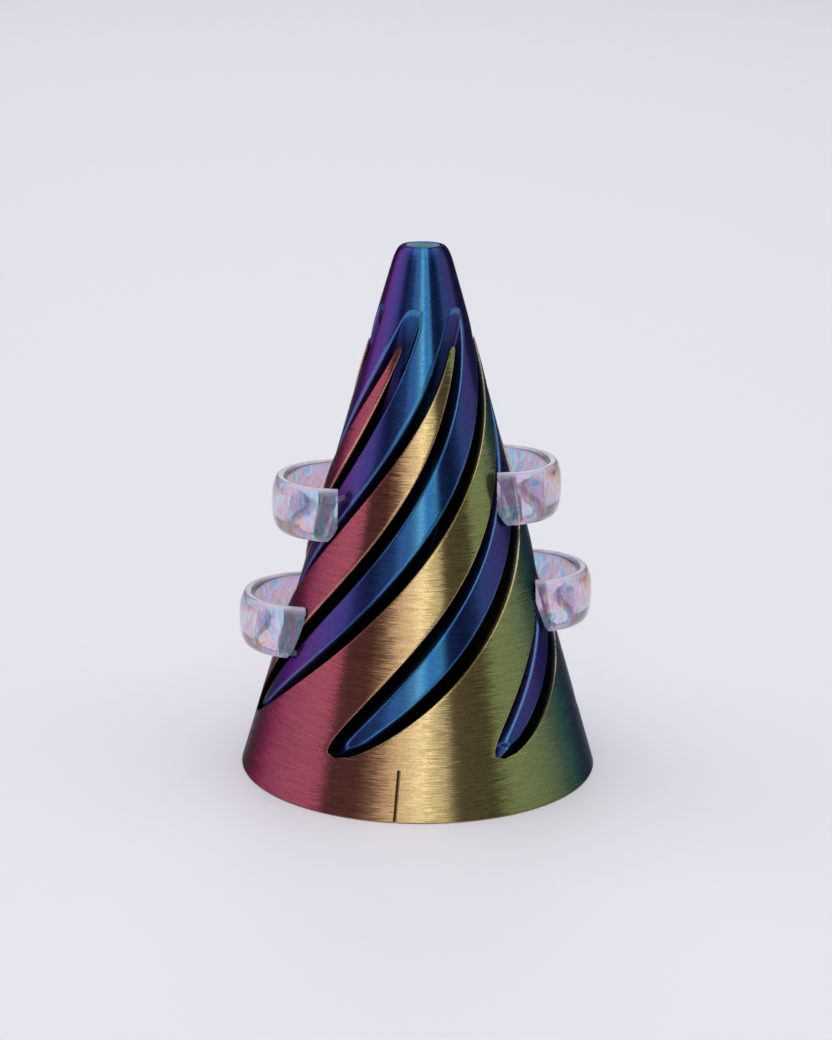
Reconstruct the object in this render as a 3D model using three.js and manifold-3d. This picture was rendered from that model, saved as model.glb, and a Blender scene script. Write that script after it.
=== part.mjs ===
// A spiral pass-through cone: an outer sleeve with six helical fins, and an inner spiral that
// screws up and out between them. Millimetres, +Z up, origin at the centre of the foot.
// Azimuths are in degrees from the front (-Y) towards the right (+X).
import * as THREE from "three";
import { mergeVertices } from "three/addons/utils/BufferGeometryUtils.js";
import Module from "manifold-3d";

const wasm = await Module();
wasm.setup();

// ---- Driving dimensions ----
const HEIGHT = 104;
const FOOT_RADIUS = 35.23;
const TAPER = 0.2914; // how much the radius shrinks for each millimetre of height
const LEAD = 175; // height of one whole turn of the helix
const TWIST = 360 / LEAD; // degrees turned for each millimetre of height
const STARTS = 6; // fins, and lobes
const SECTOR = 360 / STARTS;
const LOBE_AZIMUTH = 52.3; // of one lobe's middle, at TWIST_HEIGHT
const TWIST_HEIGHT = 50;
const LAYER = 4; // height of one ring of the twisted solids

const FIN_TOP = 86;
const FOOT_BEVEL = 0.3;
const SPIRAL_RECESS = 0.7; // how far the lobes stand back from the sleeve's cone, low down
const RECESS_GONE = 93; // height where the lobes reach the sleeve's cone
const TOP_FLAT = 3.75; // radius of the flat at the very top
const SHOULDER = 3.4;

// Half a sector of each outline, from its point outwards: [radius, degrees from the middle].
const SLOT = [
  [32.2, 0],
  [31.6, 6.2],
  [30.4, 10],
  [28.4, 13.2],
  [25.5, 15.3],
  [20.7, 16.9],
  [16.5, 19.3],
  [12.8, 23.2],
  [10.6, 26],
  [10, 27.4],
  [9.9, 30],
];
const LOBE = [
  [31.5, 0],
  [30.7, 3.9],
  [28.6, 5.8],
  [25.5, 7.8],
  [20.7, 9.1],
  [15.5, 11.4],
  [12.2, 13.8],
  [10, 15.6],
  [8.5, 18],
  [8.1, 30],
];

const SEAM = { width: 0.45, depth: 1.0, height: 10, azimuth: -6.6, lean: 2.5 };

const BUTTON = { radius: 3.3, thick: 0.9, stem: 1.2, length: 6.5, gap: 0.3 };

const CUFF_GAP = 0.3; // between a cuff's ends and the cone
const CUFF_SPAN = 90; // how far each way a cuff's arc runs from its middle, before the cone trims it
const CUFF_HALF_WALL = 1.5;
const CUFF_HALF_HEIGHT = 5.25;
// One cuff's section: [distance out from the middle of its wall, height].
const CUFF_SECTION = [
  [-CUFF_HALF_WALL, -CUFF_HALF_HEIGHT + 0.6],
  [-1, -CUFF_HALF_HEIGHT],
  [-0.1, -CUFF_HALF_HEIGHT],
  [0.75, -CUFF_HALF_HEIGHT + 0.8],
  [1.25, -2.8],
  [CUFF_HALF_WALL, 0],
  [1.25, 2.8],
  [0.75, CUFF_HALF_HEIGHT - 0.8],
  [-0.1, CUFF_HALF_HEIGHT],
  [-1, CUFF_HALF_HEIGHT],
  [-CUFF_HALF_WALL, CUFF_HALF_HEIGHT - 0.6],
];
// z is a cuff's mid height, azimuth its middle, reach its outermost distance from the axis,
// radius its outer radius, and lobes which lobes its front and back ends are pinned to.
const CUFFS = [
  { name: "upper_left", z: 53.5, azimuth: -90, reach: 29.0, radius: 13.3, lobes: [-2, -3] },
  { name: "upper_right", z: 57, azimuth: 90, reach: 27.5, radius: 12.9, lobes: [0, 1] },
  { name: "lower_left", z: 30, azimuth: -90, reach: 35.5, radius: 13.8, lobes: [-1, -2] },
  { name: "lower_right", z: 35, azimuth: 95, reach: 34.1, radius: 12.6, lobes: [1, 2] },
];
const PEG = { radius: 0.6, gap: 0.08, out: 1.25, into: 2.9, edge: 1.3 };

const RAD = Math.PI / 180;
const coneRadius = (z) => FOOT_RADIUS - TAPER * z;
const lobeAzimuth = (lobe, z) => LOBE_AZIMUTH + SECTOR * lobe + TWIST * (z - TWIST_HEIGHT);

// A point at a radius and an azimuth, at a height.
function polar(radius, azimuth, z) {
  return new THREE.Vector3(
    radius * Math.sin(azimuth * RAD),
    -radius * Math.cos(azimuth * RAD),
    z,
  );
}

// ---- Joining and cutting ----
function solid(geometry) {
  const bare = geometry.clone();
  bare.deleteAttribute("normal");
  bare.deleteAttribute("uv");
  const merged = mergeVertices(bare, 1e-4);
  return new wasm.Manifold(
    new wasm.Mesh({
      numProp: 3,
      vertProperties: new Float32Array(merged.attributes.position.array),
      triVerts: new Uint32Array(merged.index.array),
    }),
  );
}

function geometryOf(made) {
  const mesh = made.getMesh();
  const geometry = new THREE.BufferGeometry();
  geometry.setAttribute("position", new THREE.BufferAttribute(mesh.vertProperties, 3));
  geometry.setIndex(new THREE.BufferAttribute(mesh.triVerts, 1));
  const flat = geometry.toNonIndexed();
  flat.computeVertexNormals();
  return flat;
}

// Joins rings of points, each seen anticlockwise from the far end, and closes both ends.
function loft(rings) {
  const count = rings[0].length;
  const points = rings.flat();
  const faces = [];
  for (let k = 0; k < rings.length - 1; k += 1) {
    for (let i = 0; i < count; i += 1) {
      const a = k * count + i;
      const b = k * count + ((i + 1) % count);
      faces.push(a, b, b + count);
      faces.push(a, b + count, a + count);
    }
  }
  const last = (rings.length - 1) * count;
  const low = points.length;
  const middle = (ring) =>
    ring.reduce((sum, p) => sum.add(p), new THREE.Vector3()).divideScalar(count);
  points.push(middle(rings[0]));
  points.push(middle(rings[rings.length - 1]));
  for (let i = 0; i < count; i += 1) {
    const j = (i + 1) % count;
    faces.push(low, j, i);
    faces.push(low + 1, last + i, last + j);
  }
  const geometry = new THREE.BufferGeometry().setFromPoints(points);
  geometry.setIndex(faces);
  return geometry;
}

// ---- The twisted star, whose outline makes both the sleeve's slots and the spiral's lobes ----
function star(outline, bottom, top) {
  const rings = [];
  const steps = Math.round((top - bottom) / LAYER);
  for (let k = 0; k <= steps; k += 1) {
    const z = bottom + k * LAYER;
    const ring = [];
    for (let s = 0; s < STARTS; s += 1) {
      const middle = lobeAzimuth(s, z);
      const before = outline.slice(1).reverse();
      before.forEach(([r, half]) => ring.push(polar(r, middle - half, z)));
      outline.slice(0, -1).forEach(([r, half]) => ring.push(polar(r, middle + half, z)));
    }
    rings.push(ring);
  }
  return solid(loft(rings));
}

// A solid of revolution about +Z from [radius, height] pairs, going up the outside.
function turned(profile, segments) {
  const geometry = new THREE.LatheGeometry(
    profile.map(([r, z]) => new THREE.Vector2(r, z)),
    segments,
  );
  geometry.rotateX(Math.PI / 2);
  return geometry;
}

// ---- Outer sleeve: a cone with the star cut out of it, and a fine seam in its base ring ----
function outerSleeve() {
  const cone = turned(
    [
      [0, 0],
      [coneRadius(0) - FOOT_BEVEL, 0],
      [coneRadius(FOOT_BEVEL), FOOT_BEVEL],
      [coneRadius(FIN_TOP), FIN_TOP],
      [0, FIN_TOP],
    ],
    96,
  );
  const seam = new THREE.BoxGeometry(SEAM.width, 2 * SEAM.depth, 2 * SEAM.height);
  seam.rotateY(SEAM.lean * RAD);
  seam.rotateX(-Math.atan(TAPER));
  seam.translate(0, -coneRadius(0), 0);
  seam.rotateZ(SEAM.azimuth * RAD);
  return solid(cone).subtract(star(SLOT, -LAYER, HEIGHT)).subtract(solid(seam));
}

// ---- Inner spiral: the star kept inside a cone, with a smooth cap and a bore for the button ----
function innerSpiral() {
  const profile = [[0, 0]];
  profile.push([coneRadius(0) - SPIRAL_RECESS, 0]);
  profile.push([coneRadius(40) - SPIRAL_RECESS, 40]);
  profile.push([coneRadius(RECESS_GONE), RECESS_GONE]);
  const start = HEIGHT - SHOULDER;
  profile.push([coneRadius(start), start]);
  // The shoulder leaves the cone without a kink, and meets the flat without one.
  for (const t of [0.25, 0.5, 0.75, 1]) {
    const across =
      (1 - t) ** 2 * coneRadius(start) + 2 * t * (1 - t) * coneRadius(HEIGHT) + t ** 2 * TOP_FLAT;
    profile.push([across, HEIGHT - SHOULDER * (1 - t) ** 2]);
  }
  profile.push([0, HEIGHT]);
  const bore = turned(
    [
      [0, HEIGHT - BUTTON.length - BUTTON.gap],
      [BUTTON.stem + BUTTON.gap, HEIGHT - BUTTON.length - BUTTON.gap],
      [BUTTON.stem + BUTTON.gap, HEIGHT - BUTTON.thick - BUTTON.gap],
      [BUTTON.radius + BUTTON.gap, HEIGHT - BUTTON.thick - BUTTON.gap],
      [BUTTON.radius + BUTTON.gap, HEIGHT + 1],
      [0, HEIGHT + 1],
    ],
    32,
  );
  return solid(turned(profile, 96)).intersect(star(LOBE, 0, HEIGHT)).subtract(solid(bore));
}

// ---- Finger button: a flat disc and stem that turn freely in the cap ----
function fingerButton() {
  return turned(
    [
      [0, HEIGHT - BUTTON.length],
      [BUTTON.stem, HEIGHT - BUTTON.length],
      [BUTTON.stem, HEIGHT - BUTTON.thick],
      [BUTTON.radius, HEIGHT - BUTTON.thick],
      [BUTTON.radius, HEIGHT - 0.25],
      [BUTTON.radius - 0.25, HEIGHT],
      [0, HEIGHT],
    ],
    32,
  );
}

// ---- Cuffs: clear C-shaped loops that stand off the cone ----
function cuffArc(cuff) {
  const middleRadius = cuff.radius - CUFF_HALF_WALL;
  const centre = polar(cuff.reach - cuff.radius, cuff.azimuth, cuff.z);
  const rings = [];
  const steps = 16;
  for (let k = 0; k <= steps; k += 1) {
    const azimuth = cuff.azimuth - CUFF_SPAN + (2 * CUFF_SPAN * k) / steps;
    rings.push(
      CUFF_SECTION.map(([out, up]) => centre.clone().add(polar(middleRadius + out, azimuth, up))),
    );
  }
  rings.forEach((ring) => ring.reverse());
  return solid(loft(rings));
}

// Where a peg runs: from inside the cuff's end to inside the lobe it is pinned to.
function pegEnds(cuff, side, lobe) {
  const middleRadius = cuff.radius - CUFF_HALF_WALL;
  const centre = cuff.reach - cuff.radius;
  const reachTo = CUFF_HALF_HEIGHT - PEG.edge;
  let z = cuff.z;
  let azimuth = cuff.azimuth;
  let radius = coneRadius(z);
  for (let pass = 0; pass < 8; pass += 1) {
    radius = coneRadius(z) + PEG.out;
    const cosine = (centre ** 2 + radius ** 2 - middleRadius ** 2) / (2 * centre * radius);
    azimuth = cuff.azimuth + (side * Math.acos(cosine)) / RAD;
    const meets = z + (azimuth - lobeAzimuth(lobe, z)) / TWIST;
    z = THREE.MathUtils.clamp(meets, cuff.z - reachTo, cuff.z + reachTo);
  }
  return [
    polar(radius, azimuth, z),
    polar(coneRadius(z) - PEG.into, lobeAzimuth(lobe, z), z),
  ];
}

// A round rod between two points, made longer at each end by more.
function rod(from, to, radius, more) {
  const along = to.clone().sub(from);
  const length = along.length() + 2 * more;
  const geometry = new THREE.CylinderGeometry(radius, radius, length, 16);
  geometry.applyQuaternion(
    new THREE.Quaternion().setFromUnitVectors(
      new THREE.Vector3(0, 1, 0),
      along.clone().normalize(),
    ),
  );
  const middle = from.clone().add(to).divideScalar(2);
  geometry.translate(middle.x, middle.y, middle.z);
  return geometry;
}

// ---- The assembly ----
const group = new THREE.Group();
group.name = "spiral_pass_through_cone";

function add(name, geometry, colour, clear) {
  const material = new THREE.MeshStandardMaterial({ color: colour, flatShading: true });
  if (clear) {
    material.transparent = true;
    material.opacity = 0.5;
  }
  const mesh = new THREE.Mesh(geometry, material);
  mesh.name = name;
  group.add(mesh);
}

const cone = solid(
  turned(
    [
      [0, -1],
      [coneRadius(-1) + CUFF_GAP, -1],
      [coneRadius(HEIGHT) + CUFF_GAP, HEIGHT],
      [0, HEIGHT],
    ],
    96,
  ),
);

let spiral = innerSpiral();
const cuffs = [];
const pegs = [];
for (const cuff of CUFFS) {
  let arc = cuffArc(cuff).subtract(cone);
  [-1, 1].forEach((side, i) => {
    const [from, to] = pegEnds(cuff, cuff.azimuth < 0 ? -side : side, cuff.lobes[i]);
    const hole = solid(rod(from, to, PEG.radius + PEG.gap, PEG.gap));
    arc = arc.subtract(hole);
    spiral = spiral.subtract(hole);
    pegs.push([`peg_${cuff.name}_${i ? "back" : "front"}`, rod(from, to, PEG.radius, 0)]);
  });
  cuffs.push([`cuff_${cuff.name}`, geometryOf(arc)]);
}

add("outer_sleeve", geometryOf(outerSleeve()), 0xb9a06a);
add("inner_spiral", geometryOf(spiral), 0x3a5fae);
add("finger_button", fingerButton(), 0x3f8aa8);
cuffs.forEach(([name, geometry]) => add(name, geometry, 0xcfc8e8, true));
pegs.forEach(([name, geometry]) => add(name, geometry, 0xd8d4ee, true));

export default group;
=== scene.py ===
# %% [markdown]
# # A spiral pass-through cone
# This desk toy is two prints in one cone. A sleeve with six helical fins stands on the table, and a
# twisted six-lobed spiral screws up and out between the fins. Four clear C-shaped loops ride on
# the spiral's flanks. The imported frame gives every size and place, and this lesson builds the
# looks around it, piece by piece. All lengths below are in metres unless a name ends in _mm.

# %% Frame
import math

import bpy
from mathutils import Matrix, Vector


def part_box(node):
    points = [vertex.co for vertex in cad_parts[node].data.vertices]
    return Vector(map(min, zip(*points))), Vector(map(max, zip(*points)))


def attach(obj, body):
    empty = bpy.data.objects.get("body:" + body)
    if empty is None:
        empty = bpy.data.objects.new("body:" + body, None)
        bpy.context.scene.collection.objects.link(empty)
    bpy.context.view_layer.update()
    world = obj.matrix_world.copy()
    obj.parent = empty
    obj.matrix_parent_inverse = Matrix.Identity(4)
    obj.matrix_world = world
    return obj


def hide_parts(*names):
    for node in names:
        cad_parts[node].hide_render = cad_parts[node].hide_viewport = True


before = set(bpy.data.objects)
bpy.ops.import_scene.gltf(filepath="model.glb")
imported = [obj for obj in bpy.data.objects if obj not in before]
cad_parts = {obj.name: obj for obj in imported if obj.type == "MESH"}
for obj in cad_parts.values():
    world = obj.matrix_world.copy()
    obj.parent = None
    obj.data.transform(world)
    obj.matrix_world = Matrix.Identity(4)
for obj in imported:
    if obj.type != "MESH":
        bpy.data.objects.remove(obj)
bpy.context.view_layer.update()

MM = 0.001
MERGE = 0.004 * MM  # points nearer than this are one point

# %% [markdown]
# ## Measures shared by the sleeve and the spiral
# Both prints come from one idea: a star with six points is pulled up a helix, and a cone cuts it.
# The sleeve is the cone with the star taken out, and the spiral is a slightly thinner star kept
# inside the cone. So one set of numbers drives both: the cone's foot and taper, and the helix's
# lead. The foot radius in the frame's own box for the sleeve is printed, to set beside them.

# %% Cone, helix and star
HEIGHT = 104 * MM
FOOT_RADIUS = 35.23 * MM
TAPER = 0.2914
LEAD = 175 * MM
STARTS = 6
SECTOR = math.tau / STARTS
LOBE_AT_50 = math.radians(52.3)
FIN_TOP = 86 * MM

# Half of each star point, seen from above: radius in millimetres, and degrees from its middle.
SLOT_HALF = [
    (32.2, 0), (31.7, 5.8), (30.9, 8.8), (29.4, 11.8), (27.9, 13.7), (26.2, 15),
    (23.6, 15.9), (20.7, 16.9), (17.7, 18.5), (14.8, 21), (12.4, 24), (10.9, 25.9),
    (10.2, 26.9), (9.96, 27.9), (9.9, 30),
]
LOBE_HALF = [
    (30.9, 0), (30.4, 3.2), (29.2, 5), (27.9, 6.3), (26.2, 7.5), (23.6, 8.4),
    (20.7, 9.1), (17.7, 10.5), (14.8, 12), (11.9, 14), (10.2, 15.5), (9, 16.8), (8.5, 18.2),
    (8.2, 21), (8.12, 24.5), (8.1, 30),
]


def cone_radius(z):
    return FOOT_RADIUS - TAPER * z


def lobe_azimuth(z):
    """The middle of one lobe at a height, from the front (-Y) towards the right (+X)."""
    return LOBE_AT_50 + math.tau * (z - 50 * MM) / LEAD


def polar(radius, azimuth, z):
    return Vector((radius * math.sin(azimuth), -radius * math.cos(azimuth), z))


def half_angle(outline, radius):
    """The half width of a star's point at a radius, on a smooth curve through the outline."""
    tip = outline[0][0] * MM
    steps = [(math.sqrt(max(tip - r * MM, 0)), math.radians(a)) for r, a in outline]
    at = math.sqrt(max(tip - radius, 0))
    k = 0
    while k < len(steps) - 2 and steps[k + 1][0] < at:
        k += 1
    (x0, y0), (x1, y1) = steps[k], steps[k + 1]
    before = steps[k - 1] if k else steps[k]
    after = steps[k + 2] if k + 2 < len(steps) else steps[k + 1]
    slope0 = (y1 - before[1]) / (x1 - before[0])
    slope1 = (after[1] - y0) / (after[0] - x0)
    t = min(max((at - x0) / (x1 - x0), 0), 1)
    span = x1 - x0
    return (
        (2 * t**3 - 3 * t**2 + 1) * y0
        + (t**3 - 2 * t**2 + t) * span * slope0
        + (3 * t**2 - 2 * t**3) * y1
        + (t**3 - t**2) * span * slope1
    )


lowest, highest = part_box("outer_sleeve")
print("foot radius in the frame:", round(highest.x / MM, 2), "mm")

# %% [markdown]
# ## Wrapping a grid
# A fin's corner slides along its curved flank as the cone narrows, so no plain extrusion or spin
# makes it. A grid primitive does: each of its points has a place across (u) and along (v), and a
# rule carries that point to its place on the print, as cloth is carried onto a form. One sector
# is wrapped, turned round six times, and merged. Cutting a star out of a cone with a boolean
# would be shorter, but it leaves slivers along edges as long as these, and no rounded corners.

# %% Selecting
def deselect():
    if bpy.context.object and bpy.context.object.mode != "OBJECT":
        bpy.ops.object.mode_set(mode="OBJECT")
    bpy.ops.object.select_all(action="DESELECT")


def make_active(obj):
    deselect()
    obj.select_set(True)
    bpy.context.view_layer.objects.active = obj


def select_faces(obj, wanted):
    """Leaves exactly the faces that wanted() says yes to selected, in edit mode."""
    make_active(obj)
    bpy.ops.object.mode_set(mode="EDIT")
    bpy.ops.mesh.select_mode(type="FACE")
    bpy.ops.mesh.select_all(action="DESELECT")
    bpy.ops.object.mode_set(mode="OBJECT")
    for polygon in obj.data.polygons:
        polygon.select = wanted(polygon)
    bpy.ops.object.mode_set(mode="EDIT")


print("selection is done in code, by place or normal")


# %% Wrapping
def wrapped_grid(name, across, along, place, leave_out=None):
    """A grid of across by along faces whose every point goes to place(column, row).

    leave_out(column, row) says which faces aren't wanted, while the grid is still flat.
    """
    deselect()
    bpy.ops.mesh.primitive_grid_add(x_subdivisions=across, y_subdivisions=along, size=2)
    obj = bpy.context.object
    obj.name = name
    if leave_out:

        def unwanted(polygon):
            column = math.floor((polygon.center.x + 1) / 2 * across)
            row = math.floor((polygon.center.y + 1) / 2 * along)
            return leave_out(column, row)

        select_faces(obj, unwanted)
        bpy.ops.mesh.delete(type="FACE")
        bpy.ops.object.mode_set(mode="OBJECT")
    for vertex in obj.data.vertices:
        column = round((vertex.co.x + 1) / 2 * across)
        row = round((vertex.co.y + 1) / 2 * along)
        vertex.co = place(column, row)
    return obj


def turn_copies(obj):
    """Copies one sector round the axis, and merges the sectors into one closed skin."""
    make_active(obj)
    bpy.ops.object.mode_set(mode="EDIT")
    bpy.ops.mesh.select_all(action="SELECT")
    for _ in range(STARTS - 1):
        bpy.ops.mesh.duplicate()
        bpy.ops.transform.rotate(
            value=SECTOR, orient_axis="Z", orient_type="GLOBAL", center_override=(0, 0, 0)
        )
    bpy.ops.mesh.select_all(action="SELECT")
    bpy.ops.mesh.remove_doubles(threshold=MERGE)
    bpy.ops.mesh.normals_make_consistent(inside=False)
    bpy.ops.object.mode_set(mode="OBJECT")


print("a sector is", round(math.degrees(SECTOR)), "degrees")

# %% [markdown]
# The last helpers join, cut, bevel and smooth a piece, each with the operator or modifier that
# does the same in the window. The cutter goes away once it has cut.

# %% Joining, cutting and smoothing
PRINT_EDGE = 32  # degrees: a sharper edge than this stays an edge when a print is smoothed
SMALL_EDGE = 40  # and the same for the small turned and cast pieces
BEVEL_EDGE = 50  # an edge at least this sharp is bevelled


def join(obj, *others):
    make_active(obj)
    for other in others:
        other.select_set(True)
    bpy.ops.object.join()


def smooth(obj, degrees):
    make_active(obj)
    bpy.ops.object.shade_smooth_by_angle(angle=math.radians(degrees))


def place_in_mesh(obj):
    make_active(obj)
    bpy.ops.object.transform_apply(location=True, rotation=True, scale=True)


def cut(obj, cutter):
    modifier = obj.modifiers.new("cut", "BOOLEAN")
    modifier.operation = "DIFFERENCE"
    modifier.solver = "EXACT"
    modifier.object = cutter
    make_active(obj)
    bpy.ops.object.modifier_apply(modifier=modifier.name)
    bpy.data.objects.remove(cutter)


def bevel(obj, width):
    modifier = obj.modifiers.new("bevel", "BEVEL")
    modifier.width = width
    modifier.segments = 3
    modifier.limit_method = "ANGLE"
    modifier.angle_limit = math.radians(BEVEL_EDGE)
    make_active(obj)
    bpy.ops.object.modifier_apply(modifier=modifier.name)


def faces_of(obj):
    return len(obj.data.polygons)


print("helpers ready; the frame has", len(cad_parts), "nodes")

# %% [markdown]
# ## One section of a print
# At each height the section of a fin, or of a lobe, is the same walk: along the outer arc, round
# a small softened corner, and down the flank. Printed edges are never razor sharp. These corners
# are a third of a millimetre to a full one, wider on the right, and they draw the bright lines
# along the helix. A bevel modifier would break where a fin runs out to its tip, so the corner
# is part of the walk.

# %% Section walk
ARC_STEPS = 24
CORNER_STEPS = 3
FLANK_STEPS = 12
FIN_CORNERS = {-1: 0.35 * MM, 1: 0.75 * MM}  # left and right of a fin's middle
LOBE_CORNERS = {-1: 0.5 * MM, 1: 1.0 * MM}
CORNER_SHARE = 0.45  # a corner takes at most this share of the room beside it
HALF_WALK = ARC_STEPS // 2 + CORNER_STEPS + FLANK_STEPS


def half_section(radius, half, inner, flank_angle, corner_size, gap=1.0):
    """Points (radius, angle) from an arc's middle, round the corner and in along the flank.

    Angles are measured from the arc's middle, half is the arc's own half width, flank_angle(r)
    gives the flank's angle at a radius, and gap is the angle free beside the corner.
    """
    room = min(half * radius, radius - inner, gap * radius) * CORNER_SHARE
    soft = max(min(corner_size, room), 0)
    points = []
    arc_half = half - soft / radius
    for k in range(ARC_STEPS // 2 + 1):
        points.append((radius, arc_half * 2 * k / ARC_STEPS))
    start, corner = points[-1], (radius, half)
    end_radius = radius - soft
    end = (end_radius, flank_angle(end_radius))
    for k in range(1, CORNER_STEPS + 1):
        t = k / CORNER_STEPS
        weights = ((1 - t) ** 2, 2 * t * (1 - t), t * t)
        corner_points = (start, corner, end)
        points.append(
            tuple(sum(w * p[i] for w, p in zip(weights, corner_points)) for i in (0, 1))
        )
    for k in range(1, FLANK_STEPS + 1):
        r = end_radius + (inner - end_radius) * k / FLANK_STEPS
        points.append((r, flank_angle(r)))
    return points


def heights(breaks, step):
    """Row heights from the first break to the last, no further apart than step."""
    rows = [breaks[0]]
    for low, high in zip(breaks, breaks[1:]):
        count = max(1, math.ceil((high - low) / step))
        rows += [low + (high - low) * k / count for k in range(1, count + 1)]
    return rows


def circle_half(radius):
    """The same walk where the section is a plain circle: it waits at the circle's seam."""
    arc = [(radius, SECTOR * k / ARC_STEPS) for k in range(ARC_STEPS // 2 + 1)]
    return arc + [(radius, SECTOR / 2)] * (CORNER_STEPS + FLANK_STEPS)


print("one section:", 2 * HALF_WALK + 1, "points")

# %% [markdown]
# ## Outer sleeve
# The sleeve is a base ring that turns into six fins. Below the slots' lowest points the section
# is one ring, so there the outer arc and the flanks are two separate walls that meet the next
# sector's. Above, each fin is its own closed walk, up to a narrow rounded tip.

# %% Sleeve section
SLOT_TIP = SLOT_HALF[0][0] * MM
WAIST = SLOT_HALF[-1][0] * MM
SLOT_FOOT = (FOOT_RADIUS - SLOT_TIP) / TAPER
FOOT_BEVEL = 0.3 * MM
TIP_ROUNDING = 1.1 * MM


def tip_share(z):
    """How much of its width a fin keeps, near its rounded tip."""
    past = (z - FIN_TOP + TIP_ROUNDING) / (1.02 * TIP_ROUNDING)
    return math.sqrt(1 - max(past, 0) ** 2)


def fin_half(z, side):
    """The left or right half of a fin's section: (radius, angle from the fin's middle)."""
    outer = cone_radius(z) - (FOOT_BEVEL if z == 0 else 0)
    if z < SLOT_FOOT - 1e-9:
        arc = [(outer, SECTOR * k / ARC_STEPS) for k in range(ARC_STEPS // 2 + 1)]
        arc += [(outer, SECTOR / 2)] * (CORNER_STEPS - 1)
        flank = [
            SLOT_TIP + (WAIST - SLOT_TIP) * k / FLANK_STEPS for k in range(FLANK_STEPS + 1)
        ]
        return arc + [(r, SECTOR / 2 - half_angle(SLOT_HALF, r)) for r in flank]
    share = tip_share(z)
    return half_section(
        outer,
        share * (SECTOR / 2 - half_angle(SLOT_HALF, outer)),
        WAIST,
        lambda r: share * (SECTOR / 2 - half_angle(SLOT_HALF, r)),
        FIN_CORNERS[side],
        gap=half_angle(SLOT_HALF, outer),
    )


print("the slots end", round(SLOT_FOOT / MM, 1), "mm above the table")

# %% Sleeve skin
ROW_STEP = 0.62 * MM
SLOT_ROWS = (0.6 * MM, 2.4 * MM)  # breaks just above a slot's lowest point, where it widens
TIP_ROWS = (0.75, 0.5, 0.3, 0.15, 0.05, 0)  # shares of the tip's rounding that are left
TIP_CLOSE = 0.08 * MM

slot_breaks = [SLOT_FOOT + rise for rise in SLOT_ROWS]
fin_rows = heights(
    [0, FOOT_BEVEL, SLOT_FOOT, *slot_breaks, FIN_TOP - TIP_ROUNDING], ROW_STEP
)
fin_rows += [FIN_TOP - TIP_ROUNDING * left for left in TIP_ROWS]
fin_table = [{side: fin_half(z, side) for side in (-1, 1)} for z in fin_rows]
fin_rows.append(FIN_TOP + TIP_CLOSE)  # one more row, where the walk closes on the fin's tip
tip_section = [((cone_radius(FIN_TOP) + WAIST) / 2, 0)] * (HALF_WALK + 1)
fin_table.append({-1: tip_section, 1: tip_section})


def fin_place(column, row):
    side = -1 if column < HALF_WALK else 1
    radius, angle = fin_table[row][side][abs(column - HALF_WALK)]
    z = fin_rows[row]
    return polar(radius, lobe_azimuth(z) + SECTOR / 2 + side * angle, z)


def between_walls(column, row):
    """The faces that would close off one sector's ring from the next."""
    step = abs(column + 0.5 - HALF_WALK)
    corner = ARC_STEPS / 2 < step < ARC_STEPS / 2 + CORNER_STEPS
    return corner and fin_rows[row] < SLOT_FOOT - 1e-9


sleeve = wrapped_grid(
    "sleeve_skin", 2 * HALF_WALK, len(fin_rows) - 1, fin_place, between_walls
)
print("one fin:", faces_of(sleeve), "faces")

# %% [markdown]
# The underside is a flat ring with the star cut out of it. Its outer edge and its inner edge have
# the same number of points, so a second small grid spans them, row by row.

# %% Sleeve underside
UNDER_ROWS = 3


def under_place(column, row):
    angle = SECTOR * (column / ARC_STEPS - 0.5)
    outer = polar(cone_radius(0) - FOOT_BEVEL, lobe_azimuth(0) + SECTOR / 2 + angle, 0)
    step = abs(column - ARC_STEPS // 2)
    radius = WAIST + (SLOT_TIP - WAIST) * step / FLANK_STEPS
    side = -1 if column < ARC_STEPS // 2 else 1
    turn = side * (SECTOR / 2 - half_angle(SLOT_HALF, radius))
    inner = polar(radius, lobe_azimuth(0) + SECTOR / 2 + turn, 0)
    return outer.lerp(inner, row / UNDER_ROWS)


under = wrapped_grid("sleeve_under", ARC_STEPS, UNDER_ROWS, under_place)
join(sleeve, under)
turn_copies(sleeve)
print("sleeve:", faces_of(sleeve), "faces")

# %% [markdown]
# A print has a seam where each layer starts and ends. Here it shows on the base ring as a fine
# slit that leans a little to the right. A thin box, laid along the cone's slope, cuts it, and
# the box's outer left edge is drawn wide: that slopes the slit's left wall, so that it catches
# the light.

# %% Seam slit
SEAM_WIDTH = 0.36 * MM
SEAM_DEPTH = 0.9 * MM
SEAM_HEIGHT = 10 * MM
SEAM_LIP = 0.35 * MM
SEAM_AZIMUTH = -6.6
SEAM_LEAN = 2.5

untouched = faces_of(sleeve)
deselect()
bpy.ops.mesh.primitive_cube_add(size=1)
slit = bpy.context.object
slit.scale = (SEAM_WIDTH, 2 * SEAM_DEPTH, 2 * SEAM_HEIGHT)
place_in_mesh(slit)
for vertex in slit.data.vertices:
    if vertex.co.x < 0 and vertex.co.y < 0:
        vertex.co.x -= 2 * SEAM_LIP
slope = math.atan(TAPER)
turned = (
    Matrix.Rotation(math.radians(SEAM_AZIMUTH), 4, "Z")
    @ Matrix.Translation((0, -FOOT_RADIUS, 0))
    @ Matrix.Rotation(-slope, 4, "X")
    @ Matrix.Rotation(math.radians(SEAM_LEAN), 4, "Y")
)
slit.data.transform(turned)
cut(sleeve, slit)
smooth(sleeve, PRINT_EDGE)
print("the slit adds", faces_of(sleeve) - untouched, "faces")

# %% [markdown]
# ## Inner spiral
# The spiral is one print: six lobes round a solid core, and a smooth cap above the grooves. Its
# section is the same walk as a fin's, but round a lobe, and the lobes' faces stand back from the
# sleeve's cone by a hair at the foot and come level with it at the cap. Above the grooves the
# section is a plain circle, which rolls over a soft shoulder to the flat top.

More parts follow.
